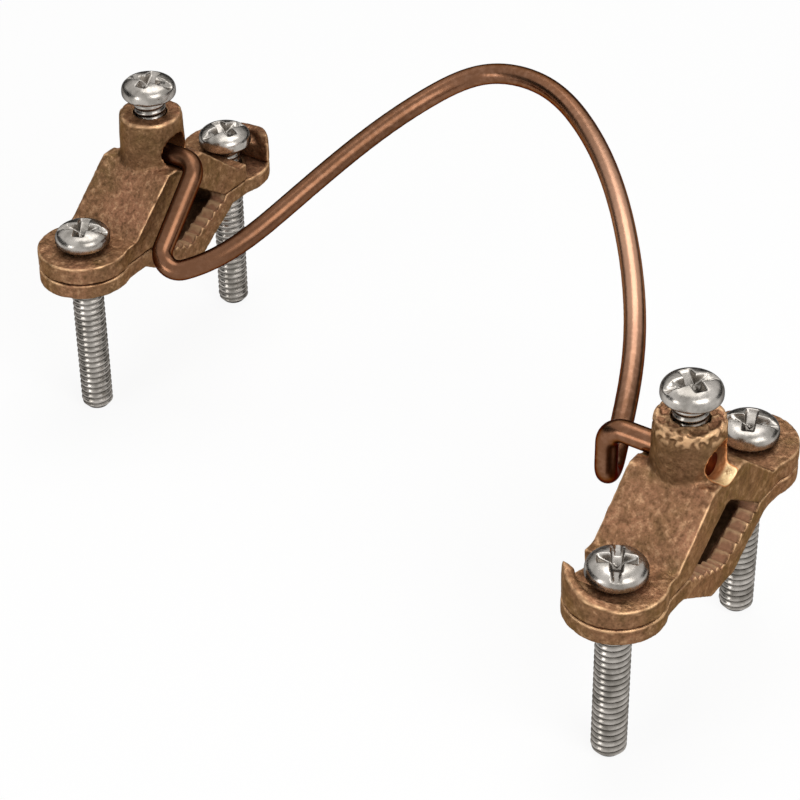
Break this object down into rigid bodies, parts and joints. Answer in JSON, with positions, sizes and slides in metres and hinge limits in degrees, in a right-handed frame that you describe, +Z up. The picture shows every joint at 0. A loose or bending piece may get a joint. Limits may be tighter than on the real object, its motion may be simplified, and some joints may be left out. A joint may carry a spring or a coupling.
{
  "type": "earthing pipe clamp",
  "caption": "Pipe bonding jumper: bronze earthing pipe clamps with toothed jaws and long clamp screws, joined by an arched bare copper wire.",
  "frame": {"origin": "middle of the whole jumper's footprint, on the plane of the four clamp screw tips", "axes": "+Z up along the clamp screws; +Y along both pipe axes, from the right clamp to the left clamp; +X along the jaws"},
  "size_m": [0.1102, 0.1584, 0.0649],
  "materials": {
    "bronze": "rough sand-cast bronze",
    "plated_steel": "bright zinc plate",
    "copper": "bare drawn copper, satin"
  },
  "bodies": {
    "frame": {"left_upper_jaw": "bronze", "right_upper_jaw": "bronze", "jumper_wire": "copper"},
    "left_lower_jaw": {"left_lower_jaw": "bronze"},
    "left_pivot_screw": {"left_pivot_screw": "plated_steel"},
    "left_slot_screw": {"left_slot_screw": "plated_steel"},
    "left_wire_screw": {"left_wire_screw": "plated_steel"},
    "right_lower_jaw": {"right_lower_jaw": "bronze"},
    "right_pivot_screw": {"right_pivot_screw": "plated_steel"},
    "right_slot_screw": {"right_slot_screw": "plated_steel"},
    "right_wire_screw": {"right_wire_screw": "plated_steel"}
  },
  "joints": [
    {"name": "left_pivot_screw_turn", "type": "hinge", "parent": "frame", "child": "left_pivot_screw", "pos_m": [-0.01391, 0.07, 0.0381], "axis": [0, 0, 1], "range_deg": [0, 7200]},
    {"name": "left_slot_screw_turn", "type": "hinge", "parent": "frame", "child": "left_slot_screw", "pos_m": [0.03259, 0.07, 0.0381], "axis": [0, 0, 1], "range_deg": [0, 7200]},
    {"name": "left_lower_jaw_slide", "type": "slide", "parent": "frame", "child": "left_lower_jaw", "axis": [0, 0, -1], "range_m": [0, 0.0254]},
    {"name": "left_wire_screw_lift", "type": "slide", "parent": "frame", "child": "left_wire_screw", "axis": [0, 0, 1], "range_m": [0, 0.0035]},
    {"name": "right_pivot_screw_turn", "type": "hinge", "parent": "frame", "child": "right_pivot_screw", "pos_m": [0.00059, -0.07, 0.0381], "axis": [0, 0, 1], "range_deg": [0, 7200]},
    {"name": "right_slot_screw_turn", "type": "hinge", "parent": "frame", "child": "right_slot_screw", "pos_m": [-0.04591, -0.07, 0.0381], "axis": [0, 0, 1], "range_deg": [0, 7200]},
    {"name": "right_lower_jaw_slide", "type": "slide", "parent": "frame", "child": "right_lower_jaw", "axis": [0, 0, -1], "range_m": [0, 0.0254]},
    {"name": "right_wire_screw_lift", "type": "slide", "parent": "frame", "child": "right_wire_screw", "axis": [0, 0, 1], "range_m": [0, 0.0035]}
  ],
  "couplings": [
    {"joint": "left_pivot_screw_turn", "follows": "left_lower_jaw_slide", "rad_per_m": 4947.4},
    {"joint": "left_slot_screw_turn", "follows": "left_lower_jaw_slide", "rad_per_m": 4947.4},
    {"joint": "right_pivot_screw_turn", "follows": "right_lower_jaw_slide", "rad_per_m": 4947.4},
    {"joint": "right_slot_screw_turn", "follows": "right_lower_jaw_slide", "rad_per_m": 4947.4}
  ]
}
